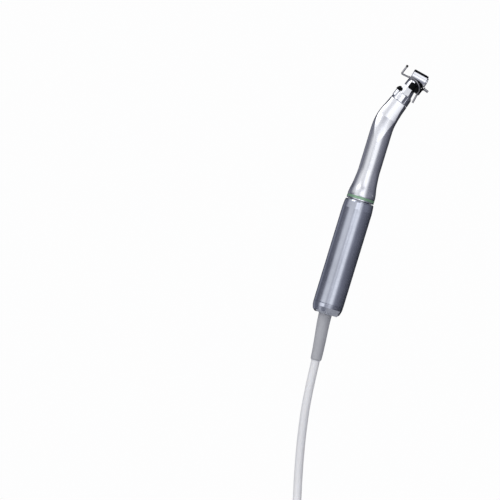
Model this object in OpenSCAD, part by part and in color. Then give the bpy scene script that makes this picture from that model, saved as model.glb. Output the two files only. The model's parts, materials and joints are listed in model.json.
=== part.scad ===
// Speed-reducing contra-angle handpiece on an electric micromotor, with a
// clip-on irrigation tube and the motor's silicone cord.
// Millimetres. Origin on the motor axis at the grip of a cabinet holder.
// The motor axis leans 17 degrees to +X, the neck leans a further 20.5.

/* [Motor] */
// Outside diameter of the motor sleeve
motor_d = 21.6; // [21.4:0.1:21.8]
// Wall of the motor sleeve
sleeve_wall = 0.9; // [0.8:0.05:1.0]
// Length of the magnet on the rotor
magnet_len = 36; // [30:1:38]

/* [Contra-angle] */
// Outside diameter of the straight handle
handle_d = 15.4; // [15.3:0.1:15.8]
// Height of the coloured ratio ring
ratio_ring_h = 1.8; // [1.4:0.1:1.8]
// Diameter of the head
head_d = 9.8; // [9.7:0.1:10.2]
// Angle from the front, or the back, to each wrench slot in the collar
collar_slot_angle = 22.5; // [20:0.5:25]

/* [Chuck] */
// Bore of the chuck, for a 2.35 mm shank
shank_d = 2.36; // [2.36:0.01:2.40]
// Travel of the push button
button_travel = 0.8; // [0.5:0.1:0.8]

/* [Irrigation] */
// Outside diameter of the steel irrigation tube
water_d = 1.4; // [1.2:0.1:1.5]

/* [Cord] */
// Diameter of the silicone cord
cord_d = 6; // [5.8:0.1:6]

/* [Hidden] */

fa = 96;                 // segments of a round face
lean = 17;               // motor axis from vertical
bend = 20.5;             // neck from the motor axis
bend_z = 128.3;          // bend point along the motor axis
head_s = 37.6;           // head axis along the neck
head_tilt = 81.4;        // head axis from the neck
mr = motor_d / 2;
hr = handle_d / 2;
kr = head_d / 2;
cr = cord_d / 2;

// planetary stage
pm = 0.24;               // module
sun_t = 12; planet_t = 18; ring_t = 48;
orbit = pm * (sun_t + planet_t) / 2;

// bevel pairs: pitch cone angles and outer cone distances
bend_cone = (180 - bend) / 2;
bend_R = 4.2;
pin_t = 8; wheel_t = 32;
pin_cone = atan(sin(head_tilt) / (wheel_t / pin_t + cos(head_tilt)));
wheel_cone = head_tilt - pin_cone;
head_R = 3.7;

// cord route from the strain relief to the hank
cord_route = [[-10.6, 0, -45], [-12.9, 0, -55], [-15.1, 0, -65],
  [-17.1, 0, -75], [-18.7, 0, -85], [-20, 0, -95], [-21.1, 0, -105],
  [-22, 0, -115], [-22.7, 0, -125], [-23.2, -0.6, -133],
  [-23.6, -2.5, -141], [-23.9, -5.3, -149], [-24, -7.8, -157],
  [-24, -9.4, -165], [-24, -9.5, -170]];
relief_route = [[-3.8, 0, -12.5], [-5, 0, -17.5], [-6.1, 0, -23],
  [-7.4, 0, -30], [-9, 0, -38], [-10.6, 0, -45]];
hank_x = -24; hank_top = -170; hank_bot = -302;
plug_z = -310;           // top of the plug's shell
// irrigation tube in the neck's frame: across, towards the back, along
water_route = [[7, -3.4, 27.1], [6.8, -3.6, 28.6], [6.7, -4, 29.8],
  [6.3, -4.9, 31.2], [5.3, -5.8, 32.6], [3.8, -6.2, 33.7], [1.8, -6.3, 34.6],
  [-0.6, -6.1, 35], [-2.8, -5.7, 35], [-4.3, -5.3, 34.6], [-5.7, -4.8, 34.1],
  [-7.4, -4.2, 33.8], [-9, -3.7, 33.5], [-10, -3.4, 33.4], [-10.5, -3.3, 33.8],
  [-10.6, -3.2, 34.8], [-10.6, -3.2, 37], [-10.6, -3.2, 39]];

module motor_frame() rotate([0, lean, 0]) children();
module neck_frame() motor_frame() translate([0, 0, bend_z])
  rotate([0, bend, 0]) children();
module head_frame() neck_frame() translate([0, 0, head_s])
  rotate([0, head_tilt, 0]) children();

// solid of revolution from [radius, height] pairs
module turned(p, n = fa) rotate_extrude($fn = n) polygon(p);
module ring(ro, ri, z0, z1) translate([0, 0, z0]) difference() {
  cylinder(r = ro, h = z1 - z0, $fn = fa);
  translate([0, 0, -1]) cylinder(r = ri, h = z1 - z0 + 2, $fn = fa);
}
// outer race and balls; the shaft carries the inner race
module race(ro, ri, z0, z1, balls, rb, rp) {
  ring(ro, ri, z0, z1);
  for (i = [0:balls - 1]) rotate([0, 0, i * 360 / balls])
    translate([rp, 0, (z0 + z1) / 2]) sphere(r = rb, $fn = 24);
}

function unit(v) = v / norm(v);
function knot(a, b, c, d, t) = 0.5 * (2 * b + (c - a) * t
  + (2 * a - 5 * b + 4 * c - d) * t * t + (3 * b - a - 3 * c + d) * t * t * t);
function curve(P, n) = let (m = len(P)) concat([for (i = [0:m - 2])
  for (k = [0:n - 1]) knot(P[max(i - 1, 0)], P[i], P[i + 1],
    P[min(i + 2, m - 1)], k / n)], [P[m - 1]]);
// tube of circular section swept along P, radius R[i] at each point
module swept(P, R, sides, ref = [0, 1, 0]) {
  m = len(P);
  T = [for (i = [0:m - 1]) unit(P[min(i + 1, m - 1)] - P[max(i - 1, 0)])];
  U = [for (t = T) unit(cross(t, ref))];
  V = [for (i = [0:m - 1]) cross(T[i], U[i])];
  pts = [for (i = [0:m - 1]) for (j = [0:sides - 1])
    let (a = 360 * j / sides) P[i] + R[i] * (cos(a) * U[i] + sin(a) * V[i])];
  faces = concat([for (i = [0:m - 2]) for (j = [0:sides - 1]) for (q = [0, 1])
      let (k = (j + 1) % sides, a = i * sides, b = a + sides)
      q == 0 ? [a + j, b + j, a + k] : [a + k, b + j, b + k]],
    [[for (j = [0:sides - 1]) j]],
    [[for (j = [sides - 1:-1:0]) (m - 1) * sides + j]]);
  polyhedron(pts, faces, convexity = 8);
}
module coil_spring(r, wire, z0, z1, turns) {
  n = turns * 14;
  P = [for (i = [0:n]) let (a = 360 * i * turns / n)
    [r * cos(a), r * sin(a), z0 + wire + (z1 - z0 - 2 * wire) * i / n]];
  swept(P, [for (i = P) wire], 8, [0, 0, 1]);
}

// involute outline: t teeth, module m, tip and root in modules, thinned by gap
function inv(a) = (tan(a) - a * PI / 180) * 180 / PI;
function half_at(r, t, m, gap) = let (rp = m * t / 2, rb = rp * cos(25))
  90 / t - gap / rp * 90 / PI + inv(25) - inv(acos(min(1, rb / max(r, rb))));
function outline(t, m, tip, root, gap) = let (rp = m * t / 2,
  ro = rp + tip * m, rr = rp - root * m,
  rad = [rr, max(rr + 0.01, rp - 0.5 * m), rp, rp + 0.5 * tip * m, ro])
  [for (i = [0:t - 1]) for (j = [0:9]) let (k = j < 5 ? j : 9 - j,
    s = j < 5 ? -1 : 1, a = i * 360 / t + s * half_at(rad[k], t, m, gap))
    rad[k] * [cos(a), sin(a)]];

// bevel tooth whose faces all run to the apex at the origin; axis along +Z
module bevel_teeth(n, cone, R1, R2, tip, root, wt, wb, turn = 0) {
  for (i = [0:n - 1]) rotate([0, 0, turn + i * 360 / n]) rotate([0, cone, 0])
    polyhedron([for (u = [R1, R2]) let (k = u / R2) each
      [[-root * k, -wb * k / 2, u], [tip * k, -wt * k / 2, u],
       [tip * k, wt * k / 2, u], [-root * k, wb * k / 2, u]]],
      [[0, 1, 2, 3], [4, 7, 6, 5], [0, 4, 5, 1], [1, 5, 6, 2], [2, 6, 7, 3],
       [3, 7, 4, 0]]);
}

// ---------------------------------------------------------------- motor
module motor_sleeve() color("slategray") motor_frame() turned([
  [mr - sleeve_wall, -6], [mr - 0.35, -6], [mr, -5.7], [mr, 63],
  [10.64, 65.2], [10.4, 67.8], [10.15, 68.9], [9.9, 69.1], [7, 69.1], [7, 66],
  [mr - sleeve_wall, 66]]);

module motor_nose() color("silver") motor_frame() turned([
  [9.7, 62], [9.7, 65.9], [6.9, 65.9], [6.9, 69.2], [6.05, 69.2],
  [6.05, 75.4], [5.45, 75.4], [5.45, 76.6], [6.05, 76.6], [6.05, 82.4],
  [5.45, 82.4], [5.45, 83.6], [6.05, 83.6], [6.05, 91.5], [5.5, 91.5],
  [5.5, 92.6], [6.05, 92.6], [6.05, 96.4], [5.6, 97], [3.3, 97], [3.3, 85.5],
  [2.2, 85.5], [2.2, 65.6], [4.5, 65.6], [4.5, 62]]);

module stator_core() color("dimgray") motor_frame() ring(9.8, 7.4, 21, 55);

module stator_windings() color("peru") motor_frame() union() {
  ring(7.35, 5.6, 18.5, 57.5);
  for (i = [0:5]) rotate([0, 0, 60 * i]) translate([6.4, -1.6, 56.8])
    cube([1.6, 3.2, 1.8]);
}

module motor_bearings() color("lightsteelblue") motor_frame() {
  race(4.45, 2.95, 62.1, 65.5, 7, 0.65, 2.25);
  race(4.45, 2.95, 9.1, 12.4, 7, 0.65, 2.25);
}

module end_bell() color("gray") motor_frame() turned([
  [9.85, 4], [9.85, 15], [8.6, 15], [8.6, 12.5], [4.5, 12.5], [4.5, 9],
  [2.4, 9], [2.4, 7.2], [8.6, 7.2], [8.6, 4]]);

module sensor_board() color("darkgreen") motor_frame() difference() {
  union() {
    ring(8.5, 2.6, 5.2, 6.2);
    for (i = [0:2]) rotate([0, 0, 120 * i + 20]) translate([3.6, -1, 6.1])
      cube([1.9, 2, 0.7]);
  }
  for (i = [0:3]) rotate([0, 0, 90 * i + 45]) translate([7.2, 0, 5])
    cylinder(r = 0.5, h = 2, $fn = 24);
}

module rear_cap() color("slategray") motor_frame() turned([
  [0, -11], [4.4, -11], [4.4, -13], [8.2, -13], [9.7, -11.6], [10.6, -8.6],
  [mr, -6.4], [mr, -6], [9.85, -6], [9.85, 0], [8.9, 0], [8.9, -8.6],
  [0, -8.6]]);

module strain_relief() color("darkgray") {
  motor_frame() translate([0, 0, -13.2]) cylinder(r = 4.35, h = 2.1, $fn = fa);
  P = curve(relief_route, 3);
  m = len(P) - 1;
  swept(P, [for (i = [0:m]) 4.7 - 0.85 * i / m], 20);
}

// ----------------------------------------------------------------- cord
module cord() color("whitesmoke") {
  P = curve(cord_route, 1);
  swept(P, [for (p = P) cr], 12);
}

// outline of the folded hank, pinched where the tie holds it
function hank_half(z) = let (h = (hank_top - hank_bot) / 2,
  c = (hank_top + hank_bot) / 2, d = abs(z - c), R = 27.3,
  w = 13.2) d > h - R ? sqrt(max(0, R * R - pow(d - (h - R), 2)))
  : w + (R - w) * (1 - cos(180 * d / (h - R))) / 2;
module cord_hank() color("whitesmoke") {
  h = hank_top - hank_bot; n = 44;
  zs = [for (i = [0:n]) hank_bot + h * (1 - cos(180 * i / n)) / 2];
  translate([hank_x, 12.5, 0]) rotate([90, 0, 0]) linear_extrude(25)
    polygon(concat([for (i = [0:n]) [hank_half(zs[i]), zs[i]]],
      [for (i = [n - 1:-1:1]) [-hank_half(zs[i]), zs[i]]]));
}

module hank_tie() color("dimgray") translate([hank_x, 0,
  (hank_top + hank_bot) / 2 - 5]) difference() {
  translate([-15, -13.6, 0]) cube([30, 27.2, 10]);
  translate([-13.9, -12.8, -1]) cube([27.8, 25.6, 12]);
}

module plug_frame() translate([hank_x, -9.5, plug_z]) children();
module plug_shell() color("silver") plug_frame() turned([
  [0, 8], [2.95, 8], [3.9, 7.5], [4.4, 0], [6.2, 0], [6.8, -1], [6.8, -14],
  [6.1, -15], [6.1, -19.8], [5.9, -19.9], [5.9, -26.2], [5.6, -26.5],
  [5, -26.5], [5, -2], [0, -2]]);
module plug_insert() color("black") plug_frame() difference() {
  translate([0, 0, -22]) cylinder(r = 4.95, h = 19, $fn = fa);
  for (i = [0:5]) rotate([0, 0, 60 * i]) translate([3, 0, -23])
    cylinder(r = 0.52, h = 6, $fn = 24);
}
module plug_pins() color("gold") plug_frame() for (i = [0:5])
  rotate([0, 0, 60 * i]) translate([3, 0, -25.5])
    cylinder(r = 0.5, h = 8, $fn = 24);
module plug_ring() color("gray") plug_frame() difference() {
  union() {
    ring(7.7, 6.2, -19.5, -15.2);
    for (i = [0:29]) rotate([0, 0, 12 * i]) translate([7.5, -0.4, -19])
      cube([0.6, 0.8, 3.3]);
  }
}

// ------------------------------------------------- coupling and rotor
module snap_ring() color("silver") motor_frame() difference() {
  ring(6.1, 5.56, 91.6, 92.5);
  translate([4, -0.6, 91]) cube([4, 1.2, 3]);
}
module spigot_o_rings() color("black") motor_frame() for (z = [76, 83])
  rotate_extrude($fn = fa) translate([5.8, z]) circle(r = 0.29, $fn = 24);

module rotor_shaft() color("lightgray") motor_frame() {
  turned([[0, 3], [1.2, 3], [1.2, 8.4], [1.55, 8.4], [1.55, 14.5],
    [2.1, 14.5], [2.1, 18], [1.5, 18], [1.5, 57.5], [1.95, 57.5],
    [1.95, 61.6], [1.55, 61.6], [1.55, 85.6], [2.8, 85.6], [2.8, 85.95],
    [0, 85.95]]);
  translate([-1.1, -1.1, 85.7]) cube([2.2, 2.2, 6.4]);
}
module rotor_magnet() color("darkslategray") motor_frame()
  ring(5, 1.52, 38 - magnet_len / 2, 38 + magnet_len / 2);
module drive_dog() color("silver") motor_frame() difference() {
  turned([[0, 89], [3, 89], [3, 95.6], [2.7, 96], [0, 96]]);
  translate([-1.16, -1.16, 88]) cube([2.32, 2.32, 5.8]);
  translate([-4, -0.8, 94.3]) cube([8, 1.6, 2]);
}
module dog_spring() color("lightgray") motor_frame()
  coil_spring(2.3, 0.18, 86, 88.95, 3);

// --------------------------------------------------- contra-angle outside
// centre line of the shell: straight, a 40 mm bend, then straight up the neck
bend_t = 40 * tan(bend / 2);
arc_0 = bend_z - bend_t;
arc_l = 40 * bend * PI / 180;
function angle_at(L) = bend * min(1, max(0, (L - arc_0) / arc_l));
function centre_at(L) = L <= arc_0 ? [0, 0, L]
  : L <= arc_0 + arc_l ? let (q = angle_at(L))
    [40 * (1 - cos(q)), 0, arc_0 + 40 * sin(q)]
  : [0, 0, bend_z] + (L - arc_0 - arc_l + bend_t) * [sin(bend), 0, cos(bend)];
neck_l = arc_0 + arc_l - bend_t;  // add to a distance along the neck
// the two side facets: crest distance, and how far they turn to the outside
// of the bend; each is a shallow arc of 14 mm radius
facet_turn = 8;
facet_r = 14;
function flat_at(L) = L < 112 ? 20 : let (t = L - 112)
  max(5.35, hr + 0.02 - 0.046 * t - 0.0042 * t * t);
// x, y pulled in to the facet on its own side
function faceted(x, y, f) = let (k = y < 0 ? -1 : 1, n = [-sin(facet_turn),
  k * cos(facet_turn)], u = [n[1], -n[0]], d = x * n[0] + y * n[1],
  e = x * u[0] + y * u[1], lim = f - e * e / (2 * facet_r))
  d > lim ? n * lim + u * e : [x, y];
shell_rings = [[69.5, 8.95], [70.4 + ratio_ring_h, 8.95],
  [70.4 + ratio_ring_h, 9.85], [74.2, 9.8], [77, 9.42], [79.8, 8.85],
  [82.6, 8.45], [85.4, 8.15], [88.2, 7.88], [91.5, hr], [102, hr], [112, hr],
  [114, hr], [117, hr], [arc_0, hr], [arc_0 + 3, hr], [arc_0 + 6, hr],
  [arc_0 + 9, 7.65], [arc_0 + 12, 7.55], [arc_0 + arc_l, 7.4],
  [neck_l + 9.5, 7.18], [neck_l + 12, 7], [neck_l + 16.4, 6.85]];
module shell_solid() {
  n = 40; m = len(shell_rings);
  pts = [for (s = shell_rings) let (c = centre_at(s[0]), q = angle_at(s[0]),
    f = flat_at(s[0])) for (j = [0:n - 1]) let (a = 360 * (j + 0.5) / n,
    p = faceted(s[1] * cos(a), s[1] * sin(a), f))
    c + [p[0] * cos(q), p[1], -p[0] * sin(q)]];
  polyhedron(pts, concat([for (i = [0:m - 2]) for (j = [0:n - 1])
    for (p = [0, 1]) let (k = (j + 1) % n, a = i * n, b = a + n)
      p == 0 ? [a + j, b + j, a + k] : [a + k, b + j, b + k]],
    [[for (j = [0:n - 1]) j]], [[for (j = [n - 1:-1:0]) (m - 1) * n + j]]),
    convexity = 6);
}

module handle_shell() color("gainsboro") difference() {
  motor_frame() shell_solid();
  motor_frame() {
    translate([0, 0, 69]) cylinder(r = 6.9, h = 39.9, $fn = fa);
    translate([0, 0, 108.8]) cylinder(r = 4.05, h = 4.9, $fn = fa);
    translate([0, 0, 113.5]) cylinder(r = 4.7, h = bend_z - 113.5, $fn = fa);
  }
  neck_frame() {
    sphere(r = 4.85, $fn = 64);
    cylinder(r = 4.7, h = 9, $fn = fa);
    translate([0, 0, 8.9]) cylinder(r = 4.05, h = 9, $fn = fa);
  }
}
module coupling_sleeve() color("silver") motor_frame() turned([
  [6.15, 71], [6.85, 71], [6.85, 97.5], [5.2, 97.5], [5.2, 97.15],
  [6.15, 97.15], [6.15, 93], [6.4, 92.8], [6.4, 91.3], [6.15, 91.1]]);
module rear_rim() color("silver") motor_frame()
  turned([[9, 69.5], [9.7, 69.5], [9.9, 69.7], [9.9, 70.35], [9, 70.35]]);
module ratio_ring() color("mediumseagreen") motor_frame() turned([
  [9, 70.4], [9.8, 70.4], [9.9, 70.5], [9.9, 70.3 + ratio_ring_h],
  [9.85, 70.38 + ratio_ring_h], [9, 70.38 + ratio_ring_h]]);

// neck forward of the collar, with wrench flats, and the ring on it
module neck_sleeve() color("gainsboro") neck_frame() difference() {
  turned([[0, 9.4], [4, 9.4], [4, 16.5], [5.8, 16.5], [5.8, 22.5],
    [6.15, 22.6], [6, 23.4], [4.75, 28.6], [4.7, 29.4], [0, 29.4]]);
  for (i = [0:7]) rotate([0, 0, 45 * i + 6]) translate([5.2, -2.5, 22.8])
    rotate([0, -9, 0]) cube([4, 5, 6.2]);
  translate([0, 0, 9]) cylinder(r = 3.05, h = 5.2, $fn = fa);
  translate([0, 0, 14]) cylinder(r = 2.2, h = 12, $fn = fa);
  translate([0, 0, 25.5]) cylinder(r = 3.3, h = 5, $fn = fa);
}
module slotted_collar() color("silver") neck_frame() difference() {
  turned([[5.85, 16.6], [6.6, 16.6], [6.75, 16.8], [6.4, 22.1], [6.2, 22.4],
    [5.85, 22.4]]);
  for (k = [-90, 90], j = [-1, 1])
    rotate([0, 0, k + j * collar_slot_angle])
      translate([6.12, -1.2, 17.1]) cube([2, 2.4, 6]);
}

module head_housing() color("gainsboro") difference() {
  union() {
    head_frame() turned([[0, -4.4], [kr - 0.5, -4.4], [kr, -3.9], [kr, 5.6],
      [0, 5.6]]);
    neck_frame() turned([[0, 25.6], [3.25, 25.6], [3.25, 29.5], [4.7, 29.5],
      [4.6, 33], [4.5, 36.4], [0, 36.4]]);
  }
  head_frame() {
    translate([0, 0, -5]) cylinder(r = 2.4, h = 3, $fn = fa);
    translate([0, 0, -4]) cylinder(r = 3.35, h = 2, $fn = fa);
    translate([0, 0, -2.7]) cylinder(r = 4.1, h = 9, $fn = fa);
  }
  neck_frame() {
    translate([0, 0, 25]) cylinder(r = 1.5, h = 11, $fn = fa);
    translate([0, 0, 28.9]) cylinder(r = 3.05, h = 3.3, $fn = fa);
  }
}
module head_cap() color("silver") head_frame() turned([
  [kr - 0.05, 5.65], [kr - 0.05, 6.4], [kr - 0.45, 6.9], [3.5, 6.9], [3.5, 6.35],
  [3.75, 6.35], [3.75, 3.65], [2.6, 3.65], [2.6, 3.35], [3.4, 3.35],
  [3.4, 1.85], [4.05, 1.85], [4.05, 5.65]]);
module head_bearings() color("lightsteelblue") head_frame() {
  race(3.3, 2.75, -3.98, -2.78, 9, 0.36, 2.34);
  race(3.36, 2.75, 2, 3.3, 9, 0.36, 2.34);
}
module handle_bearings() color("lightsteelblue") motor_frame() {
  race(6.8, 4.1, 98.2, 101.4, 7, 1.2, 2.8);
  race(4, 2.9, 109.1, 113.3, 7, 0.6, 2.2);
}
module neck_bearings() color("lightsteelblue") neck_frame() {
  race(3, 2.4, 10.2, 12.8, 7, 0.5, 1.82);
  race(3, 2.4, 29.2, 32, 7, 0.5, 1.82);
}

// --------------------------------------------------------- irrigation
module port_boss() color("silver") neck_frame() rotate([0, 0, 25]) difference() {
  translate([-5.6, 0, 17.8]) turned([[0, 0], [1.5, 0], [1.9, 0.6], [1.9, 4.9],
    [0, 4.9]], 64);
  turned([[0, 12], [6.8, 12], [6.8, 16.8], [6.45, 22.15], [6.2, 22.62],
    [6.2, 25], [0, 25]]);
}
module port_cap() color("black") neck_frame() rotate([0, 0, 25]) difference() {
  translate([-7.05, 0, 24.75]) rotate([0, -61, 0])
    turned([[0, -2.6], [1.7, -2.6], [1.9, -2.3], [1.9, -0.3], [1.6, 0],
      [0, 0]], 64);
  turned([[0, 12], [6.22, 12], [6.22, 23.1], [5.75, 23.2], [4.85, 28.6],
    [0, 28.6]]);
  translate([-10, -5, 18]) cube([10, 10, 4.75]);
}

module clip_corner(z, r, m) translate([-1.8, -2, z]) rotate([90, 0, 0])
  linear_extrude(8) mirror([0, m]) difference() {
    translate([-0.1, -0.1]) square(r + 0.1);
    translate([r, r]) circle(r, $fn = 48);
  }
module irrigation_clip() color("black") difference() {
  neck_frame() difference() {
    union() {
      translate([0, 0, 28.5]) cylinder(r = 5.7, h = 4.6, $fn = fa);
      translate([2, -4.6, 28.5]) cube([6.2, 7, 4.6]);
      translate([6.9, -3.4, 32]) cube([1.3, 4.4, 2.2]);
      translate([7.55, -1.2, 34.3]) rotate([0, 90, 0])
        cylinder(r = 1.5, h = 1.2, $fn = 48);
      // ridge that holds the tube
      P = curve([for (i = [1:6]) water_route[i]], 2);
      swept(P, [for (p = P) water_d / 2 + 0.45], 12);
    }
    translate([0, 0, 20]) cylinder(r = 4.75, h = 20, $fn = fa);
    // open jaw at the left, from the front round to the back
    linear_extrude(60) polygon([[0, 0], [-2.6, -9], [-14, -9], [-14, 9],
      [-7, 9]]);
    translate([-10, -10, 20]) cube([8.2, 8, 20]);
    clip_corner(28.5, 0.9, 0);
    clip_corner(33.1, 1.7, 1);
    P = curve(water_route, 2);
    swept(P, [for (p = P) water_d / 2 + 0.02], 12);
    // mouth of the groove that the tube snaps into
    translate([0, -0.8, 0]) swept(P, [for (p = P) water_d / 2 - 0.08], 12);
  }
  // clear of the head, and a seat for the stub rod
  head_frame() translate([0, 0, -20]) cylinder(r = kr + 0.12, h = 27.8,
    $fn = fa);
  neck_frame() translate([7.8, -1.2, 34.3]) rotate([0, 90, 0])
    cylinder(r = 0.92, h = 8, $fn = 48);
}
module irrigation_tube() color("silver") neck_frame() difference() {
  union() {
    P = curve(water_route, 3);
    swept(P, [for (p = P) water_d / 2], 12);
    translate([7.9, -3.4, 21.6]) rotate([0, -9.2, 0])
      cylinder(r = water_d / 2, h = 5.6, $fn = 48);
  }
  translate([7.9, -3.4, 21.6]) rotate([0, -9.2, 0])
    translate([0, 0, -1]) cylinder(r = water_d / 2 - 0.3, h = 5.5, $fn = 48);
}
module tube_tip() color("dimgray") neck_frame() translate([-10.6, -3.2, 39])
  difference() {
    turned([[0, 0], [0.72, 0], [0.85, 0.3], [0.85, 1.1], [0.6, 1.5],
      [0, 1.5]], 48);
    translate([0, 0, 0.6]) cylinder(r = 0.35, h = 2, $fn = 48);
  }
module stub_rod() color("silver") neck_frame() translate([7.8, -1.2, 34.3])
  rotate([0, 90, 0]) turned([[0, 0], [0.9, 0], [0.9, 4], [0.75, 4.2],
    [0, 4.2]], 48);

// ------------------------------------------------------------- gearing
module input_shaft() color("lightgray") motor_frame() union() {
  intersection() {
    translate([0, 0, 94.6]) cylinder(r = 2.6, h = 2.3, $fn = fa);
    translate([-3, -0.74, 94]) cube([6, 1.48, 4]);
  }
  turned([[0, 96.8], [1.55, 96.8], [1.55, 102.4], [0.9, 102.4], [0.9, 107.2],
    [0.7, 107.4], [0.7, 109.6], [0, 109.6]]);
}
module sun_gear() color("goldenrod") motor_frame() translate([0, 0, 103])
  linear_extrude(4) difference() {
    polygon(outline(sun_t, pm, 0.85, 1.1, 0.05));
    circle(r = 0.92, $fn = 48);
  }
module ring_gear() color("goldenrod") motor_frame() translate([0, 0, 102.6])
  linear_extrude(4.8) difference() {
    circle(r = 6.85, $fn = fa);
    rotate(3.75) polygon(outline(ring_t, pm, 1.15, 0.8, -0.05));
  }
module planet(i) color("khaki") motor_frame() rotate([0, 0, 120 * i])
  translate([orbit, 0, 103.1]) rotate([0, 0, 10]) linear_extrude(3.8)
    difference() {
      polygon(outline(planet_t, pm, 0.85, 1.15, 0.05));
      circle(r = 0.8, $fn = 48);
    }
module planet_gear_1() planet(0);
module planet_gear_2() planet(1);
module planet_gear_3() planet(2);
module planet_carrier() color("silver") motor_frame() union() {
  for (i = [0:2]) rotate([0, 0, 120 * i]) translate([orbit, 0, 102.8])
    cylinder(r = 0.74, h = 4.9, $fn = 48);
  turned([[0.78, 107.5], [4.9, 107.5], [4.9, 108.6], [1.55, 108.6],
    [1.55, 127.2], [0, 127.2], [0, 110], [0.78, 110]]);
}
module bevel_blank(r0, r1, cone, R, root, back) turned([
  [r0, back], [r0, r0 / tan(cone) + root], [r1, r1 / tan(cone) + root],
  [r1, back]], 64);
module bend_gear_rear() color("goldenrod") motor_frame()
  translate([0, 0, bend_z]) rotate([180, 0, 0]) union() {
    bevel_blank(1.58, 4.1, bend_cone, bend_R, 0.4, 3);
    bevel_teeth(16, bend_cone, 3, bend_R, 0.3, 0.5, 0.3, 0.56, 0);
  }
module neck_shaft() color("lightgray") neck_frame() turned([
  [0, 1.1], [1.27, 1.1], [1.27, 32.6], [0.45, 32.8], [0.45, 35], [0, 35]]);
module bend_gear_front() color("goldenrod") neck_frame() rotate([0, 0, 180])
  union() {
    bevel_blank(1.3, 4.1, bend_cone, bend_R, 0.4, 3);
    bevel_teeth(16, bend_cone, 3, bend_R, 0.3, 0.5, 0.3, 0.56, 11.25);
  }
module head_pinion() color("goldenrod") neck_frame()
  translate([0, 0, head_s]) rotate([180, 0, 0]) union() {
    turned([[0.47, 2.6], [0.47, 4.1], [0.7, 4.1], [0.66, 3.6],
      [0.5, 2.6]], 48);
    bevel_teeth(pin_t, pin_cone, 2.65, head_R, 0.16, 0.3, 0.1, 0.26, 0);
  }
module chuck_spindle() color("lightgray") head_frame() turned([
  [shank_d / 2, -4.3], [1.75, -4.3], [1.9, -4.15], [1.9, 3.05],
  [1.6, 3.05], [1.6, 2.3], [shank_d / 2, 2.3]]);
module head_gear() color("goldenrod") head_frame() rotate([180, 0, 0])
  union() {
    bevel_blank(1.92, 3.3, wheel_cone, head_R, 0.28, 2.62);
    bevel_teeth(wheel_t, wheel_cone, 2.65, head_R, 0.14, 0.4, 0.14, 0.28,
      180 / wheel_t);
  }
module chuck_latch() color("silver") head_frame() difference() {
  translate([0, 0, 2.35]) cylinder(r = 1.55, h = 0.65, $fn = fa);
  translate([-0.9, -0.5, 2]) cube([3, 1, 2]);
}
module push_button() color("gainsboro") head_frame() turned([
  [0, 3.15 + button_travel], [1, 3.15 + button_travel], [1, 5.55],
  [3.7, 5.55], [3.7, 6.3], [3.42, 6.3],
  [3.42, 7.3], [3.1, 7.55], [1.8, 7.75], [0, 7.8]]);
module button_spring() color("lightgray") head_frame()
  coil_spring(3.15, 0.15, 3.68, 5.52, 3);

motor_sleeve();
motor_nose();
stator_core();
stator_windings();
motor_bearings();
end_bell();
sensor_board();
rear_cap();
strain_relief();
cord();
cord_hank();
hank_tie();
plug_shell();
plug_insert();
plug_pins();
plug_ring();
snap_ring();
spigot_o_rings();
rotor_shaft();
rotor_magnet();
drive_dog();
dog_spring();
handle_shell();
coupling_sleeve();
rear_rim();
ratio_ring();
ring_gear();
handle_bearings();
neck_sleeve();
slotted_collar();
neck_bearings();
head_housing();
head_cap();
head_bearings();
port_boss();
port_cap();
irrigation_clip();
irrigation_tube();
tube_tip();
stub_rod();
input_shaft();
sun_gear();
planet_carrier();
bend_gear_rear();
planet_gear_1();
planet_gear_2();
planet_gear_3();
neck_shaft();
bend_gear_front();
head_pinion();
chuck_spindle();
head_gear();
chuck_latch();
push_button();
button_spring();
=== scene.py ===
# Contra-angle handpiece on its micromotor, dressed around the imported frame.
import json
import math

import bmesh
import bpy
from mathutils import Matrix, Vector


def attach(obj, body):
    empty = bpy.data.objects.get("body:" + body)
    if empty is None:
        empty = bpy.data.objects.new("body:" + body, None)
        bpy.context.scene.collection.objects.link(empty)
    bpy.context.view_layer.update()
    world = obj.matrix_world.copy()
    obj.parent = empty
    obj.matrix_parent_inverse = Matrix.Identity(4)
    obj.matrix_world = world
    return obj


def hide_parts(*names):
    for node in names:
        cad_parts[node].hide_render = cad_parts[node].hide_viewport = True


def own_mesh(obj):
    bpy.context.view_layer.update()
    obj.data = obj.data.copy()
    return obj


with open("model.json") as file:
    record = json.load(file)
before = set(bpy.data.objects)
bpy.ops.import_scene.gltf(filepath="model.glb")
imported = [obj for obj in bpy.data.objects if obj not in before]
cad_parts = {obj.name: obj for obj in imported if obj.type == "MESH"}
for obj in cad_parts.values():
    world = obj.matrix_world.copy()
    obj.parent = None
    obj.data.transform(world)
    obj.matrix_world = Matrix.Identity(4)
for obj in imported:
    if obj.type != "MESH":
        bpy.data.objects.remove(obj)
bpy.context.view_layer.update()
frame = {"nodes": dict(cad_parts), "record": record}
NODES = frame["nodes"]
scene = bpy.context.scene
scene.view_settings.view_transform = "Standard"
MM = 0.001
rad = math.radians


def ry(d):
    return Matrix.Rotation(rad(d), 4, "Y")


def shift(x, y, z):
    return Matrix.Translation((x * MM, y * MM, z * MM))


LEAN, BEND, BEND_Z, HEAD_S, TILT = 17, 20.5, 128.3, 37.6, 81.4
MOTOR = ry(LEAN)
NECK = MOTOR @ shift(0, 0, BEND_Z) @ ry(BEND)
HEAD = NECK @ shift(0, 0, HEAD_S) @ ry(TILT)

# ------------------------------------------------------------------ camera
cam_data = bpy.data.cameras.new("camera")
cam_data.lens = 180
cam_data.sensor_width = 36
cam_data.clip_end = 20
cam = bpy.data.objects.new("camera", cam_data)
cam.location = (-0.05656, -1.75, 0.0322)
cam.rotation_euler = (rad(90), 0, 0)
scene.collection.objects.link(cam)
scene.camera = cam


# ------------------------------------------------------------ small tools
def link(ob):
    scene.collection.objects.link(ob)
    return ob


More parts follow.
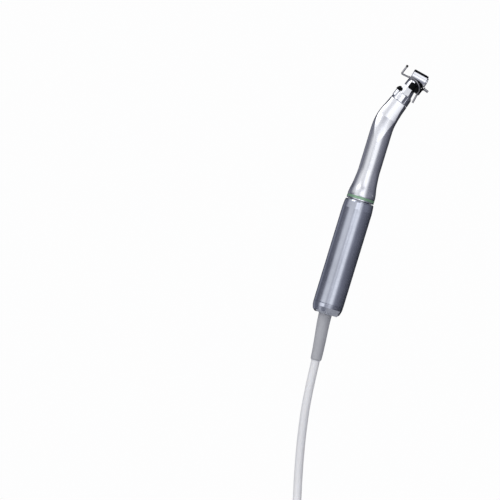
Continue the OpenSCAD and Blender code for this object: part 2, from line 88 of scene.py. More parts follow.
def catmull(P, n):
    """Points on a Catmull-Rom curve through P, n to a span."""
    out = []
    m = len(P)
    for i in range(m - 1):
        a, b, c, d = P[max(i - 1, 0)], P[i], P[i + 1], P[min(i + 2, m - 1)]
        for k in range(n):
            t = k / n
            out.append(0.5 * (2 * b + (c - a) * t + (2 * a - 5 * b + 4 * c - d) * t * t
                              + (3 * b - a - 3 * c + d) * t ** 3))
    out.append(P[-1].copy())
    return out


def resample(P, step):
    """P again with points evenly about step apart."""
    d = [0.0]
    for a, b in zip(P, P[1:]):
        d.append(d[-1] + (b - a).length)
    n = max(2, round(d[-1] / step))
    out, j = [], 0
    for i in range(n + 1):
        s = d[-1] * i / n
        while j < len(d) - 2 and d[j + 1] < s:
            j += 1
        t = (s - d[j]) / max(d[j + 1] - d[j], 1e-12)
        out.append(P[j].lerp(P[j + 1], min(1, max(0, t))))
    return out, d[-1]


def length_of(P):
    return sum((b - a).length for a, b in zip(P, P[1:]))


def smooth(t):
    t = min(1.0, max(0.0, t))
    return (1 - math.cos(math.pi * t)) / 2


# -------------------------------------------------------------------- cord
CORD_D = 6.0
WATER_R = 0.7
CORD = [(-10.6, 0, -45), (-12.9, 0, -55), (-15.1, 0, -65), (-17.1, 0, -75),
        (-18.7, 0, -85), (-20, 0, -95), (-21.1, 0, -105), (-22, 0, -115),
        (-22.7, 0, -125), (-23.2, -0.6, -133), (-23.6, -2.5, -141),
        (-23.9, -5.3, -149), (-24, -7.8, -157), (-24, -9.4, -165)]
RELIEF = [(-3.8, 0, -12.5), (-5, 0, -17.5), (-6.1, 0, -23), (-7.4, 0, -30),
          (-9, 0, -38), (-10.6, 0, -45)]
HANK_X, HANK_C, FLANK = -24.0, -236.0, 38.7
SIDE = -1                       # the run that goes down is on this side
SEGS = (38.0, 42.0, 42.0, 76.0, 42.0, 42.0, 38.0)
TURN = sum(SEGS)


def half_width(d, q):
    R, w = 24.3 - 6.3 * q, 9.9 - 6.6 * q
    return w + (R - w) * (1 - math.cos(math.pi * min(d, FLANK) / FLANK)) / 2


def on_turn(s, q):
    """Place on the hank's turn, s along it, q from the outer loop to the inner one."""
    R = 24.3 - 6.3 * q
    s %= TURN
    k = 0
    while s > SEGS[k]:
        s -= SEGS[k]
        k += 1
    t = s / SEGS[k]
    if k == 0:
        a = t * math.pi / 2
        x, z = SIDE * R * math.sin(a), FLANK + R * math.cos(a)
    elif k == 1:
        d = FLANK * (1 - t)
        x, z = SIDE * half_width(d, q), d
    elif k == 2:
        d = FLANK * t
        x, z = SIDE * half_width(d, q), -d
    elif k == 3:
        x, z = SIDE * R * math.cos(math.pi * t), -FLANK - R * math.sin(math.pi * t)
    elif k == 4:
        d = FLANK * (1 - t)
        x, z = -SIDE * half_width(d, q), -d
    elif k == 5:
        d = FLANK * t
        x, z = -SIDE * half_width(d, q), d
    else:
        a = t * math.pi / 2
        x, z = -SIDE * R * math.cos(a), FLANK + R * math.sin(a)
    return HANK_X + x, HANK_C + z


def hank_line():
    """The folded part, from the loop's first slot to the front of the waist."""
    out = []
    s, end = 62.0, 5 * TURN + 80.0
    while s <= end:
        k, r = divmod(s, TURN)
        k = int(k)
        y = -9.45
        q = 0.0
        if k == 0:
            y += 6.3 * smooth((r - 62) / 36)
        else:
            y += 6.3
        for j in (1, 2):
            y += 6.3 * (0 if k < j else smooth((r - 16) / 32) if k == j else 1)
        if k == 2:
            q = smooth((r - 244) / 38)
        elif k > 2:
            q = 1.0
        for j in (3, 4, 5):
            y -= 6.3 * (0 if k < j else smooth((r - 46) / 30) if k == j else 1)
        x, z = on_turn(r, q)
        out.append(Vector((x, y, z)))
        s += 1.0
    return out


hank = hank_line()
lead = catmull([Vector((-9, 0, -38))] + [Vector(p) for p in CORD], 8)
entry_end, entry_dir = hank[0], (hank[1] - hank[0]).normalized()
entry_start, start_dir = lead[-1], (lead[-1] - lead[-2]).normalized()
entry = []
for i in range(1, 40):
    t = i / 40
    h00, h10 = 2 * t ** 3 - 3 * t * t + 1, t ** 3 - 2 * t * t + t
    h01, h11 = -2 * t ** 3 + 3 * t * t, t ** 3 - t * t
    entry.append(entry_start * h00 + start_dir * 62 * h10 + entry_end * h01
                 + entry_dir * 58 * h11)
for p in entry:
    p.y = min(p.y, -9.45)
tail_end = Vector((-24, -9.5, -302.6))
tail_start = hank[-1]
tail = []
for i in range(1, 41):
    t = i / 40
    tail.append(Vector((tail_start.x + (tail_end.x - tail_start.x) * smooth(t),
                        -9.47, tail_start.z + (tail_end.z - tail_start.z) * t)))
line, _ = resample(lead + entry + hank + tail, 0.5)
knots, cord_len = resample(line, 8.0)


def bezier(name, pts, radius, closed=False, res=6):
    data = bpy.data.curves.new(name, "CURVE")
    data.dimensions = "3D"
    data.bevel_depth = radius
    data.bevel_resolution = 8
    data.use_fill_caps = True
    data.resolution_u = res
    sp = data.splines.new("BEZIER")
    sp.bezier_points.add(len(pts) - 1)
    n = len(pts)
    for i, p in enumerate(pts):
        b = sp.bezier_points[i]
        prev, nxt = pts[max(i - 1, 0)], pts[min(i + 1, n - 1)]
        tan = (nxt - prev).normalized()
        b.co = p
        b.handle_left_type = b.handle_right_type = "FREE"
        b.handle_left = p - tan * ((p - prev).length / 3 if i else (nxt - p).length / 3)
        b.handle_right = p + tan * ((nxt - p).length / 3 if i < n - 1 else (p - prev).length / 3)
    return link(bpy.data.objects.new(name, data))


cord = bezier("cord_line", [p * MM for p in knots], CORD_D / 2 * MM)


# --------------------------------------------------------------- materials
def tree(name):
    m = bpy.data.materials.new(name)
    m.use_nodes = True
    nt = m.node_tree
    nt.nodes.clear()
    out = nt.nodes.new("ShaderNodeOutputMaterial")
    bsdf = nt.nodes.new("ShaderNodeBsdfPrincipled")
    nt.links.new(bsdf.outputs[0], out.inputs[0])
    return m, nt, bsdf


def node(nt, kind, **values):
    n = nt.nodes.new(kind)
    for k, v in values.items():
        if k in n.inputs:
            n.inputs[k].default_value = v
        else:
            setattr(n, k, v)
    return n


def coords(nt, frame_matrix=None, scale=(1, 1, 1)):
    """Object coordinates, turned into a sub-frame so that grain can follow it."""
    tc = nt.nodes.new("ShaderNodeTexCoord")
    src = tc.outputs["Object"]
    if frame_matrix is not None:
        inv = frame_matrix.inverted()
        mp = nt.nodes.new("ShaderNodeMapping")
        mp.inputs["Location"].default_value = inv.to_translation()
        mp.inputs["Rotation"].default_value = inv.to_euler()
        nt.links.new(src, mp.inputs["Vector"])
        src = mp.outputs[0]
    sc = nt.nodes.new("ShaderNodeMapping")
    sc.inputs["Scale"].default_value = scale
    nt.links.new(src, sc.inputs["Vector"])
    return sc.outputs[0]


def noise_of(nt, vec, scale, detail=3, rough=0.5):
    n = node(nt, "ShaderNodeTexNoise", Scale=scale, Detail=detail, Roughness=rough)
    nt.links.new(vec, n.inputs["Vector"])
    return n.outputs["Fac"]


def ramp(nt, src, lo, hi, a, b):
    n = node(nt, "ShaderNodeMapRange")
    n.inputs["From Min"].default_value = lo
    n.inputs["From Max"].default_value = hi
    n.inputs["To Min"].default_value = a
    n.inputs["To Max"].default_value = b
    nt.links.new(src, n.inputs["Value"])
    return n.outputs["Result"]


def mix_col(nt, fac, a, b):
    n = nt.nodes.new("ShaderNodeMix")
    n.data_type = "RGBA"
    if hasattr(fac, "links"):
        nt.links.new(fac, n.inputs[0])
    else:
        n.inputs[0].default_value = fac
    for v, s in ((a, n.inputs[6]), (b, n.inputs[7])):
        if hasattr(v, "links"):
            nt.links.new(v, s)
        else:
            s.default_value = (*v, 1)
    return n.outputs[2]


def add(nt, a, b, op="ADD"):
    n = nt.nodes.new("ShaderNodeMath")
    n.operation = op
    for v, s in ((a, n.inputs[0]), (b, n.inputs[1])):
        if hasattr(v, "links"):
            nt.links.new(v, s)
        else:
            s.default_value = v
    return n.outputs[0]


def edges(nt, radius, gain):
    """1 on the outside edges, 0 on the faces."""
    bv = node(nt, "ShaderNodeBevel", samples=4)
    bv.inputs["Radius"].default_value = radius
    geo = nt.nodes.new("ShaderNodeNewGeometry")
    dot = nt.nodes.new("ShaderNodeVectorMath")
    dot.operation = "DOT_PRODUCT"
    nt.links.new(bv.outputs[0], dot.inputs[0])
    nt.links.new(geo.outputs["Normal"], dot.inputs[1])
    return ramp(nt, dot.outputs["Value"], 1.0, 1.0 - gain, 0.0, 1.0)


def surface(name, colour, metal=0.0, rough=0.5, grain=None, grain_amp=0.06,
            tint=0.08, patch=60, bump=0.0, bump_scale=2500, frame_matrix=None,
            stretch=(1, 1, 1), wear=0.0, wear_rad=0.00025, wear_colour=None,
            coat=0.0, sheen=0.0, spec=0.5, ior=1.5, aniso=0.0, sub=0.0,
            rough_amp=0.08, detail=3):
    m, nt, b = tree(name)
    base = coords(nt, None)
    fine = coords(nt, frame_matrix, stretch)
    big = noise_of(nt, base, patch, 3)
    dark = tuple(c * (1 - tint) for c in colour)
    light = tuple(min(1, c * (1 + tint)) for c in colour)
    col = mix_col(nt, ramp(nt, big, 0.3, 0.7, 0, 1), dark, light)
    g = noise_of(nt, fine, grain or bump_scale, detail)
    col = mix_col(nt, ramp(nt, g, 0.3, 0.7, 0, grain_amp), col,
                  tuple(c * 0.45 for c in colour))
    r = add(nt, ramp(nt, big, 0.25, 0.75, rough - rough_amp / 2, rough + rough_amp / 2),
            ramp(nt, g, 0.3, 0.7, -rough_amp / 2, rough_amp / 2))
    if wear:
        e = edges(nt, wear_rad, 0.12)
        spot = noise_of(nt, base, 900, 4)
        e = add(nt, e, ramp(nt, spot, 0.35, 0.62, 0.25, 1.0), "MULTIPLY")
        e = add(nt, e, wear, "MULTIPLY")
        col = mix_col(nt, e, col, wear_colour or tuple(min(1, c * 1.25 + 0.05) for c in colour))
        r = add(nt, r, add(nt, e, 0.12, "MULTIPLY"), "SUBTRACT")
    nt.links.new(col, b.inputs["Base Color"])
    nt.links.new(r, b.inputs["Roughness"])
    if bump:
        bp = node(nt, "ShaderNodeBump", Strength=1.0, Distance=bump)
        h = noise_of(nt, fine, bump_scale, detail)
        nt.links.new(h, bp.inputs["Height"])
        nt.links.new(bp.outputs[0], b.inputs["Normal"])
    b.inputs["Metallic"].default_value = metal
    b.inputs["IOR"].default_value = ior
    b.inputs["Specular IOR Level"].default_value = spec
    if coat:
        b.inputs["Coat Weight"].default_value = coat
        b.inputs["Coat Roughness"].default_value = 0.12
    if sheen:
        b.inputs["Sheen Weight"].default_value = sheen
        b.inputs["Sheen Roughness"].default_value = 0.5
    if aniso:
        b.inputs["Anisotropic"].default_value = aniso
    if sub:
        b.inputs["Subsurface Weight"].default_value = sub
        b.inputs["Subsurface Radius"].default_value = (0.002, 0.0018, 0.0016)
        b.inputs["Subsurface Scale"].default_value = 1.0
    return m


MATS = {
    "motor_grey": surface("motor_grey", (0.51, 0.535, 0.61), metal=0.94, rough=0.19,
                          grain=2600, grain_amp=0.10, bump=0.000004, bump_scale=3800,
                          frame_matrix=MOTOR, stretch=(0.12, 0.12, 1.0),
                          wear=0.5, wear_colour=(0.62, 0.63, 0.68)),
    "satin_steel": surface("satin_steel", (0.74, 0.75, 0.785), metal=1.0, rough=0.27,
                           grain=3000, grain_amp=0.05, bump=0.000002, bump_scale=4200,
                           wear=0.4, tint=0.025, rough_amp=0.04),
    "neck_steel": surface("neck_steel", (0.72, 0.73, 0.77), metal=1.0, rough=0.17,
                          grain=3000, grain_amp=0.08, bump=0.000003, bump_scale=4200,
                          frame_matrix=NECK, stretch=(0.1, 0.1, 1.0), wear=0.4, tint=0.05),
    "mirror_steel": surface("mirror_steel", (0.70, 0.71, 0.75), metal=1.0, rough=0.11,
                            grain=2200, grain_amp=0.08, bump=0.0000015, bump_scale=3000,
                            frame_matrix=HEAD, stretch=(0.1, 0.1, 1.0), wear=0.3,
                            tint=0.04, rough_amp=0.05),
    "machined_steel": surface("machined_steel", (0.58, 0.59, 0.62), metal=1.0, rough=0.3,
                              grain=2600, grain_amp=0.12, bump=0.000004, bump_scale=3600,
                              frame_matrix=MOTOR, stretch=(0.08, 0.08, 1.0), wear=0.5),
    "plug_steel": surface("plug_steel", (0.60, 0.61, 0.64), metal=1.0, rough=0.27,
                          grain=2600, grain_amp=0.12, bump=0.000004, bump_scale=3600,
                          stretch=(0.08, 0.08, 1.0), wear=0.6),
    "gear_steel": surface("gear_steel", (0.50, 0.44, 0.34), metal=1.0, rough=0.36,
                          grain=2600, grain_amp=0.2, bump=0.000006, bump_scale=5000,
                          wear=0.8, wear_colour=(0.78, 0.76, 0.72)),
    "bearing_steel": surface("bearing_steel", (0.70, 0.72, 0.75), metal=1.0, rough=0.16,
                             grain=1800, grain_amp=0.1, bump=0.000002, bump_scale=4000),
    "ratio_green": surface("ratio_green", (0.27, 0.47, 0.30), metal=0.35, rough=0.34,
                           grain=1500, grain_amp=0.08, bump=0.000003, bump_scale=2500,
                           coat=0.4, wear=0.4, wear_colour=(0.75, 0.86, 0.78)),
    "black_plastic": surface("black_plastic", (0.004, 0.0045, 0.0055), rough=0.5,
                             grain=2500, grain_amp=0.1, bump=0.000012, bump_scale=3500,
                             tint=0.2, wear=0.35, wear_colour=(0.02, 0.02, 0.025),
                             spec=0.08),
    "white_silicone": surface("white_silicone", (0.88, 0.88, 0.89), rough=0.55,
                              grain=1200, grain_amp=0.04, bump=0.00001, bump_scale=1800,
                              tint=0.03, patch=25, sheen=0.15, sub=0.12),
    "grey_silicone": surface("grey_silicone", (0.47, 0.475, 0.50), rough=0.55,
                             grain=1500, grain_amp=0.08, bump=0.000012, bump_scale=2200,
                             tint=0.05, sheen=0.15),
    "copper": surface("copper", (0.62, 0.26, 0.10), metal=0.9, rough=0.35, grain=900,
                      grain_amp=0.5, bump=0.00005, bump_scale=1600, frame_matrix=MOTOR,
                      stretch=(1.0, 1.0, 0.05), coat=0.5),
    "lamination": surface("lamination", (0.14, 0.14, 0.16), metal=0.8, rough=0.5,
                          grain=2500, grain_amp=0.5, bump=0.00004, bump_scale=2500,
                          frame_matrix=MOTOR, stretch=(0.02, 0.02, 1.0)),
    "magnet": surface("magnet", (0.42, 0.42, 0.45), metal=1.0, rough=0.22, grain=1500,
                      grain_amp=0.2, bump=0.000004, bump_scale=1200, wear=0.5),
    "circuit_green": surface("circuit_green", (0.02, 0.15, 0.06), rough=0.3, grain=1200,
                             grain_amp=0.4, bump=0.00002, bump_scale=900, coat=0.6),
    "gold": surface("gold", (0.75, 0.50, 0.15), metal=1.0, rough=0.2, grain=2500,
                    grain_amp=0.1, bump=0.000003, bump_scale=3000, wear=0.4),
    "spring_steel": surface("spring_steel", (0.46, 0.47, 0.49), metal=1.0, rough=0.25,
                            grain=3000, grain_amp=0.2, bump=0.000004, bump_scale=4500),
    "black_rubber": surface("black_rubber", (0.018, 0.018, 0.02), rough=0.5, grain=1500,
                            grain_amp=0.1, bump=0.00001, bump_scale=2500, tint=0.2),
    "strap_grey": surface("strap_grey", (0.055, 0.058, 0.066), rough=0.9, grain=1400,
                          grain_amp=0.5, bump=0.00025, bump_scale=2600, tint=0.25,
                          sheen=0.6, detail=5),
    "tube_steel": surface("tube_steel", (0.28, 0.28, 0.30), metal=1.0, rough=0.1,
                          grain=2500, grain_amp=0.12, bump=0.000003, bump_scale=3500,
                          wear=0.3),
}
SLOTS = {s["node"]: s["material_slot"] for s in frame["record"]["subparts"]}
OVER = {"neck_sleeve": "neck_steel", "slotted_collar": "neck_steel",
        "port_boss": "neck_steel", "plug_shell": "plug_steel", "plug_ring": "plug_steel"}
for n, ob in NODES.items():
    ob.data.materials.clear()
    ob.data.materials.append(MATS[OVER.get(n, SLOTS[n])])


def finish_mesh(ob, mat, sharp=35):
    me = ob.data
    me.validate()
    me.materials.clear()
    me.materials.append(MATS[mat])
    for p in me.polygons:
        p.use_smooth = True
    me.set_sharp_from_angle(angle=rad(sharp))
    return ob


def mesh_of(name, verts, faces):
    me = bpy.data.meshes.new(name)
    me.from_pydata([tuple(v) for v in verts], [], faces)
    me.update()
    return link(bpy.data.objects.new(name, me))


def tube_mesh(name, pts, radii, sides=32, ref=Vector((0, 1, 0)), caps=True):
    """Tube with rings square to the line, twist-free."""
    n = len(pts)
    tans = [(pts[min(i + 1, n - 1)] - pts[max(i - 1, 0)]).normalized() for i in range(n)]
    u = tans[0].cross(ref).normalized()
    V, F = [], []
    for i, p in enumerate(pts):
        u = (u - tans[i] * u.dot(tans[i])).normalized()
        v = tans[i].cross(u)
        for j in range(sides):
            a = 2 * math.pi * j / sides
            V.append(p + (u * math.cos(a) + v * math.sin(a)) * radii[i])
    for i in range(n - 1):
        for j in range(sides):
            k = (j + 1) % sides
            F.append((i * sides + j, i * sides + k, (i + 1) * sides + k, (i + 1) * sides + j))
    if caps:
        F.append(tuple(reversed(range(sides))))
        F.append(tuple((n - 1) * sides + j for j in range(sides)))
    return mesh_of(name, V, F)


# ---------------------------------------------------- cord, relief and tie
cord.data.materials.append(MATS["white_silicone"])
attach(cord, "motor_body")
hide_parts("cord", "cord_hank")

rp, rl = resample(catmull([Vector(p) for p in RELIEF], 10), 0.5)
nr = len(rp) - 1
prof = []
for i in range(nr + 1):
    d = rl * i / nr
    r = 4.7 - 0.85 * i / nr
    e = rl - d
    if e < 0.9:
        r -= (0.9 - e) * 0.75
    prof.append(r)
ends = [Vector((-3.8, 0, -12.5)) + Vector((math.sin(rad(LEAN)), 0, math.cos(rad(LEAN)))) * 1.2]
relief = tube_mesh("strain_relief_sleeve", [p * MM for p in ends + rp],
                   [4.35 * MM] + [r * MM for r in prof], 48)
finish_mesh(relief, "grey_silicone", 40)
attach(relief, "motor_body")
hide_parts("strain_relief")


def hull(points):
    pts = sorted(points)

    def half(ps):
        h = []
        for p in ps:
            while len(h) > 1 and ((h[-1][0] - h[-2][0]) * (p[1] - h[-2][1])
                                  - (h[-1][1] - h[-2][1]) * (p[0] - h[-2][0])) <= 0:
                h.pop()
            h.append(p)
        return h[:-1]
    return half(pts) + half(pts[::-1])


strands = [(-9.9, -3.15), (-9.9, 3.15), (-9.9, 9.45), (-3.3, 3.15), (-3.3, -9.45),
           (9.9, -3.15), (9.9, 3.15), (9.9, 9.45)]


def wrap(off):
    cloud = [(x + off * math.cos(rad(a)), y + off * math.sin(rad(a)))
             for x, y in strands for a in range(0, 360, 6)]
    return hull(cloud)


loop = wrap(3.05)
loop_pts, _ = resample([Vector((x, y, 0)) for x, y in loop + loop[:1]], 0.5)
loop_pts = loop_pts[:-1]
# strap: closed band with a lapped end that stands a little proud
V, F = [], []
nz = 9
m = len(loop_pts)
start = min(range(m), key=lambda i: (loop_pts[i] - Vector((5.5, -7.9, 0))).length)
order = [loop_pts[(start + i) % m] for i in range(m)]
lap = 16
order = order + order[:lap]
tot = len(order)
for side in (0, 1):
    for i, p in enumerate(order):
        a, b = order[max(i - 1, 0)], order[min(i + 1, tot - 1)]
        t = (b - a).normalized()
        nrm = Vector((t.y, -t.x, 0))
        lift = 0.62 * smooth((i - (tot - lap - 8)) / 8) if i > tot - lap - 8 else 0
        th = 0.55 * side
        for k in range(nz + 1):
            z = -4.7 + 9.4 * k / nz
            edge = 0.12 * (abs(z) / 4.7) ** 4
            q = p + nrm * (th + lift - edge * side + 0.02)
            V.append(Vector((HANK_X + q.x, q.y, HANK_C + z)) * MM)
w = nz + 1
for side in (0, 1):
    o = side * tot * w
    for i in range(tot - 1):
        for k in range(nz):
            f = (o + i * w + k, o + (i + 1) * w + k, o + (i + 1) * w + k + 1, o + i * w + k + 1)
            F.append(f if side else f[::-1])
o = tot * w
for i in range(tot - 1):
    F.append((i * w, (i + 1) * w, o + (i + 1) * w, o + i * w))
    F.append((i * w + nz, o + i * w + nz, o + (i + 1) * w + nz, (i + 1) * w + nz))
for k in range(nz):
    F.append((k, o + k, o + k + 1, k + 1))
    e = (tot - 1) * w
    F.append((e + k, e + k + 1, o + e + k + 1, o + e + k))
tie = mesh_of("hank_strap", V, F)
finish_mesh(tie, "strap_grey", 40)
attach(tie, "motor_body")
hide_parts("hank_tie")

# ------------------------------------------------------------ handle shell
BT = 40 * math.tan(rad(BEND / 2))
ARC0 = BEND_Z - BT
ARCL = 40 * rad(BEND)
NECKL = ARC0 + ARCL - BT


def angle_at(L):
    return rad(BEND) * min(1, max(0, (L - ARC0) / ARCL))


def centre_at(L):
    if L <= ARC0:
        return Vector((0, 0, L))
    if L <= ARC0 + ARCL:
        q = angle_at(L)
        return Vector((40 * (1 - math.cos(q)), 0, ARC0 + 40 * math.sin(q)))
    s = L - ARC0 - ARCL + BT
    return Vector((s * math.sin(rad(BEND)), 0, BEND_Z + s * math.cos(rad(BEND))))


HR = 7.7
FACET_TURN, FACET_R = 8, 14


def flat_at(L):
    if L < 112:
        return 20
    t = L - 112
    return max(5.35, HR + 0.02 - 0.046 * t - 0.0042 * t * t)


def faceted(x, y, f):
    """x, y pulled in to the shallow side facet on its own side."""
    k = -1 if y < 0 else 1
    nx, ny = -math.sin(rad(FACET_TURN)), k * math.cos(rad(FACET_TURN))
    ux, uy = ny, -nx
    d, e = x * nx + y * ny, x * ux + y * uy
    lim = f - e * e / (2 * FACET_R)
    return (nx * lim + ux * e, ny * lim + uy * e) if d > lim else (x, y)


KEY = [(73.2, 9.84), (74.2, 9.8), (77, 9.42), (79.8, 8.85), (82.6, 8.45), (85.4, 8.15), (88.2, 7.88),
       (91.5, HR), (97, HR), (102, HR), (112, HR), (ARC0, HR), (ARC0 + 3, HR), (ARC0 + 6, HR),
       (ARC0 + 9, 7.65), (ARC0 + 12, 7.55), (ARC0 + ARCL, 7.4), (NECKL + 9.5, 7.18),
       (NECKL + 12, 7.0), (NECKL + 16.2, 6.86)]


def radius_at(L):
    if L <= KEY[0][0]:
        return KEY[0][1]
    for i in range(len(KEY) - 1):
        if KEY[i][0] <= L <= KEY[i + 1][0]:
            (x0, y0), (x1, y1) = KEY[i], KEY[i + 1]
            xa, ya = KEY[max(i - 1, 0)]
            xb, yb = KEY[min(i + 2, len(KEY) - 1)]
            m0 = (y1 - ya) / (x1 - xa)
            m1 = (yb - y0) / (xb - x0)
            h = x1 - x0
            t = (L - x0) / h
            return ((2 * t ** 3 - 3 * t * t + 1) * y0 + (t ** 3 - 2 * t * t + t) * h * m0
                    + (-2 * t ** 3 + 3 * t * t) * y1 + (t ** 3 - t * t) * h * m1)
    return KEY[-1][1]


# inner lip, rear face, ring seat, then the outside up to the collar
rings = [(72.22, 8.6), (72.22, 9.72), (72.32, 9.82), (72.5, 9.85), (73.2, 9.84)]
L = 73.8
while L < NECKL + 16.1:
    rings.append((L, radius_at(L)))
    L += 0.45
end = NECKL + 16.2
rings += [(end - 0.1, 6.86), (end + 0.08, 6.82), (end + 0.2, 6.70), (end + 0.2, 5.7)]
NA = 192
V, F = [], []
for L, r in rings:
    c, q, f = centre_at(L), angle_at(L), flat_at(L)
    for j in range(NA):
        a = 2 * math.pi * (j + 0.5) / NA
        x, y = faceted(r * math.cos(a), r * math.sin(a), f)
        V.append(MOTOR @ (Vector((c.x + x * math.cos(q), y, c.z - x * math.sin(q))) * MM))
for i in range(len(rings) - 1):
    for j in range(NA):
        k = (j + 1) % NA
        F.append((i * NA + j, i * NA + k, (i + 1) * NA + k, (i + 1) * NA + j))
F.append(tuple(reversed(range(NA))))
F.append(tuple((len(rings) - 1) * NA + j for j in range(NA)))
shell = mesh_of("handle_skin", V, F)
finish_mesh(shell, "satin_steel", 32)
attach(shell, "contra_angle")
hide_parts("handle_shell")

# ---------------------------------------------- alignment mark on the handle
spot_c = Vector((7.35, -6.4, 75.3))
out_n = Vector((7.35, -6.4, 1.2)).normalized()
su = out_n.cross(Vector((0, 0, 1))).normalized()
sv = out_n.cross(su)
V, F = [], []
prof = [(0.0, 0.04), (0.24, 0.05), (0.34, 0.09), (0.42, 0.17), (0.5, 0.14), (0.56, -0.15)]
for i, (r, h) in enumerate(prof):
    for j in range(32):
        a = 2 * math.pi * j / 32
        if i == 0 and j:
            break
        V.append(MOTOR @ ((spot_c + (su * math.cos(a) + sv * math.sin(a)) * r + out_n * h) * MM))
for j in range(32):
    k = (j + 1) % 32
    F.append((0, 1 + j, 1 + k))
    for i in range(1, len(prof) - 1):
        o, p = 1 + (i - 1) * 32, 1 + i * 32
        F.append((o + j, p + j, p + k, o + k))
o = 1 + (len(prof) - 2) * 32
F.append(tuple(o + j for j in reversed(range(32))))
spot = mesh_of("alignment_mark", V, F)
bm = bmesh.new()
bm.from_mesh(spot.data)
bmesh.ops.recalc_face_normals(bm, faces=bm.faces)
bm.to_mesh(spot.data)
bm.free()
finish_mesh(spot, "machined_steel", 50)
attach(spot, "contra_angle")

# ------------------------------------------------ clip and irrigation tube
src = NODES["irrigation_clip"]
clip = link(bpy.data.objects.new("clip_moulding", src.data.copy()))
clip.matrix_world = src.matrix_world.copy()
for kind, name in (("REMESH", "r"), ("CORRECTIVE_SMOOTH", "s")):
    md = clip.modifiers.new(name, kind if kind == "REMESH" else "SMOOTH")
    if kind == "REMESH":
        md.mode = "VOXEL"
        md.voxel_size = 0.00013
    else:
        md.factor = 0.5
        md.iterations = 36
bpy.context.view_layer.update()
dg = bpy.context.evaluated_depsgraph_get()
me = bpy.data.meshes.new_from_object(clip.evaluated_get(dg))
clip.modifiers.clear()
clip.data = me
finish_mesh(clip, "black_plastic", 60)
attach(clip, "contra_angle")
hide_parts("irrigation_clip")

ROUTE = [(7, -3.4, 27.1), (6.8, -3.6, 28.6), (6.7, -4, 29.8), (6.3, -4.9, 31.2),
         (5.3, -5.8, 32.6), (3.8, -6.2, 33.7), (1.8, -6.3, 34.6), (-0.6, -6.1, 35),
         (-2.8, -5.7, 35), (-4.3, -5.3, 34.6), (-5.7, -4.8, 34.1), (-7.4, -4.2, 33.8),
         (-9, -3.7, 33.5), (-10, -3.4, 33.4), (-10.5, -3.3, 33.8), (-10.6, -3.2, 34.8),
         (-10.6, -3.2, 37), (-10.6, -3.2, 39)]
t0 = rad(9.2)
foot = [Vector((7.9 - d * math.sin(t0), -3.4, 21.6 + d * math.cos(t0)))
        for d in (0, 0.03, 0.6, 1.6, 2.8, 4.0, 5.0)]
tp, _ = resample(catmull(foot + [Vector(p) for p in ROUTE], 8), 0.2)
tp = [NECK @ (p * MM) for p in tp]
pipe = tube_mesh("irrigation_pipe", tp, [WATER_R * MM] * len(tp), 24)
bm = bmesh.new()
bm.from_mesh(pipe.data)
bmesh.ops.recalc_face_normals(bm, faces=bm.faces)
low = min((f for f in bm.faces if len(f.verts) > 4),
          key=lambda f: f.calc_center_median().z)
res = bmesh.ops.inset_individual(bm, faces=[low], thickness=0.28 * MM, use_even_offset=True)
ext = bmesh.ops.extrude_discrete_faces(bm, faces=[low])["faces"][0]
for v in ext.verts:
    v.co -= ext.normal * 3 * MM
bm.to_mesh(pipe.data)
bm.free()
finish_mesh(pipe, "tube_steel", 50)
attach(pipe, "contra_angle")
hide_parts("irrigation_tube")

# ------------------------------------------------- coil springs, built at one fixed length
def coil(name, node, mat, body, base, r, wire, z0, z1, turns):
    n = 48 * turns
    pts = []
    for i in range(n + 1):
        a = 2 * math.pi * turns * i / n
        z = z0 + wire + (z1 - z0 - 2 * wire) * i / n
        pts.append(base @ (Vector((r * math.cos(a), r * math.sin(a), z)) * MM))
    ob = tube_mesh(name, pts, [wire * MM] * len(pts), 12, ref=Vector((0, 0, 1)))
    finish_mesh(ob, mat, 60)
    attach(ob, body)
    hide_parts(node)
    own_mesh(ob)


coil("dog_spring_coil", "dog_spring", "spring_steel", "rotor", MOTOR,
     2.3, 0.18, 86, 88.95, 3)
coil("button_spring_coil", "button_spring", "spring_steel", "contra_angle",
     HEAD, 3.15, 0.15, 3.68, 5.52, 3)

# ------------------------------------------------------------------- stage
FLOOR_Z = -0.3425
bm = bmesh.new()
bmesh.ops.create_circle(bm, cap_ends=True, radius=0.6, segments=128)
me = bpy.data.meshes.new("floor")
bm.to_mesh(me)
bm.free()
floor = link(bpy.data.objects.new("floor", me))
floor.location = (-0.02, 0, FLOOR_Z)
fm, nt, b = tree("floor")
vec = coords(nt)
g = noise_of(nt, vec, 18, 3)
nt.links.new(mix_col(nt, ramp(nt, g, 0.3, 0.7, 0, 1), (0.80, 0.80, 0.80), (0.84, 0.84, 0.84)),
             b.inputs["Base Color"])
b.inputs["Roughness"].default_value = 0.75
floor.data.materials.append(fm)

# ------------------------------------------------------------------- light
world = bpy.data.worlds.new("world")
scene.world = world
world.use_nodes = True
nt = world.node_tree
nt.nodes.clear()
out = nt.nodes.new("ShaderNodeOutputWorld")
tc = nt.nodes.new("ShaderNodeTexCoord")
sep = nt.nodes.new("ShaderNodeSeparateXYZ")
nt.links.new(tc.outputs["Generated"], sep.inputs[0])
neg = add(nt, sep.outputs["Y"], -1.0, "MULTIPLY")
az = add(nt, sep.outputs["X"], neg, "ARCTAN2")          # 0 towards -Y, + towards +X
fac = ramp(nt, az, -math.pi, math.pi, 0, 1)
LOW = [(-180, 0.40), (-172, 0.30), (-163, 0.02), (-125, 0.02), (-100, 0.08), (-75, 0.20), (-50, 0.18), (-30, 0.22), (-12, 0.36),
       (0, 0.55), (18, 0.45), (42, 0.16), (90, 0.09), (130, 0.03), (163, 0.02),
       (172, 0.30), (180, 0.40)]
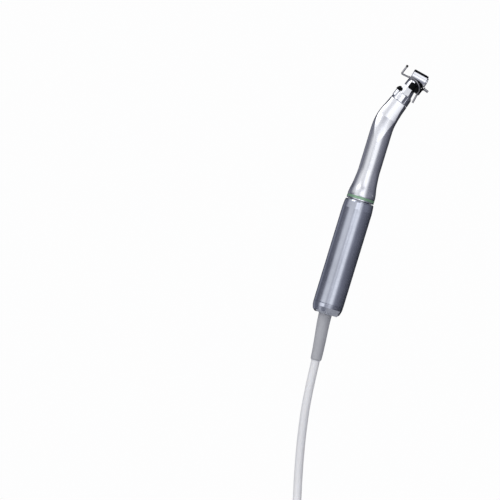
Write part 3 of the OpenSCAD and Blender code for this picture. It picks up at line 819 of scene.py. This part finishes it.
MID = [(-180, 1.70), (-172, 1.30), (-165, 0.05), (-150, 0.10), (-142, 0.30), (-130, 0.36), (-115, 0.16), (-85, 0.18),
       (-74, 0.75), (-64, 1.50), (-33, 1.50), (-27, 0.34), (-22, 0.34), (-17, 0.66), (-3, 0.70),
       (3, 1.20), (8, 1.45), (22, 1.40), (32, 0.55), (46, 0.33), (70, 0.32), (110, 0.15), (135, 0.05),
       (165, 0.02), (172, 1.30), (180, 1.70)]
FACE = [(-180, 1.70), (-172, 1.30), (-165, 0.05), (-150, 0.08), (-140, 0.26), (-130, 0.38), (-115, 0.15), (-75, 0.14),
        (-62, 0.65), (-54, 0.95), (-12, 0.95), (-2, 0.66), (10, 0.50), (14, 0.90), (28, 1.05),
        (36, 0.40), (46, 0.24), (70, 0.22), (110, 0.12), (135, 0.05), (165, 0.02), (172, 1.30),
        (180, 1.70)]
HIGH = [(-180, 0.02), (-134, 0.04), (-116, 0.16), (-98, 0.42), (-82, 0.85), (-40, 0.92), (-5, 0.60),
        (8, 0.50), (15, 0.70), (22, 1.30), (58, 1.30), (66, 0.008), (180, 0.004)]


def dial(stops):
    cr = nt.nodes.new("ShaderNodeValToRGB")
    nt.links.new(fac, cr.inputs[0])
    els = cr.color_ramp.elements
    while len(els) > 1:
        els.remove(els[-1])
    for i, (deg, v) in enumerate(stops):
        e = els[0] if i == 0 else els.new((deg + 180) / 360)
        e.position = (deg + 180) / 360
        t = max(0.0, 1 - v / 0.8)
        e.color = (v * (0.985 - 0.09 * t), v * (0.99 - 0.06 * t), v * (1.01 + 0.22 * t), 1)
    return cr.outputs[0]


upper = ramp(nt, sep.outputs["Z"], 0.32, 0.44, 0, 1)
tilt = add(nt, sep.outputs["Z"], ramp(nt, az, rad(-2), rad(4), 0, 0.07))
face = ramp(nt, tilt, 0.06, 0.14, 0, 1)
lower = ramp(nt, sep.outputs["Z"], -0.12, -0.34, 0, 1)
level = mix_col(nt, face, mix_col(nt, lower, dial(MID), dial(LOW)), dial(FACE))
glow = mix_col(nt, upper, level, dial(HIGH))
bg_light = nt.nodes.new("ShaderNodeBackground")
nt.links.new(glow, bg_light.inputs[0])
bg_light.inputs[1].default_value = 1.0
bg_seen = nt.nodes.new("ShaderNodeBackground")
bg_seen.inputs[0].default_value = (0.985, 0.985, 0.987, 1)
lp = nt.nodes.new("ShaderNodeLightPath")
mixs = nt.nodes.new("ShaderNodeMixShader")
nt.links.new(lp.outputs["Is Camera Ray"], mixs.inputs[0])
nt.links.new(bg_light.outputs[0], mixs.inputs[1])
nt.links.new(bg_seen.outputs[0], mixs.inputs[2])
nt.links.new(mixs.outputs[0], out.inputs[0])


def area(name, loc, aim, size, power, colour=(1, 1, 1)):
    d = bpy.data.lights.new(name, "AREA")
    d.shape = "RECTANGLE"
    d.size, d.size_y = size
    d.energy = power
    d.color = colour
    o = link(bpy.data.objects.new(name, d))
    o.location = loc
    o.rotation_euler = (Vector(aim) - Vector(loc)).to_track_quat("-Z", "Y").to_euler()
    return o


area("key", (-0.9, -0.9, 1.5), (0.0, 0, 0.0), (0.9, 0.9), 5.5, (1.0, 0.99, 0.98))
area("fill", (0.1, -1.9, 0.5), (0.0, 0, 0.0), (1.1, 0.7), 2.4)
area("back", (0.3, 1.3, 1.7), (0.0, 0, 0.0), (0.9, 0.7), 7)
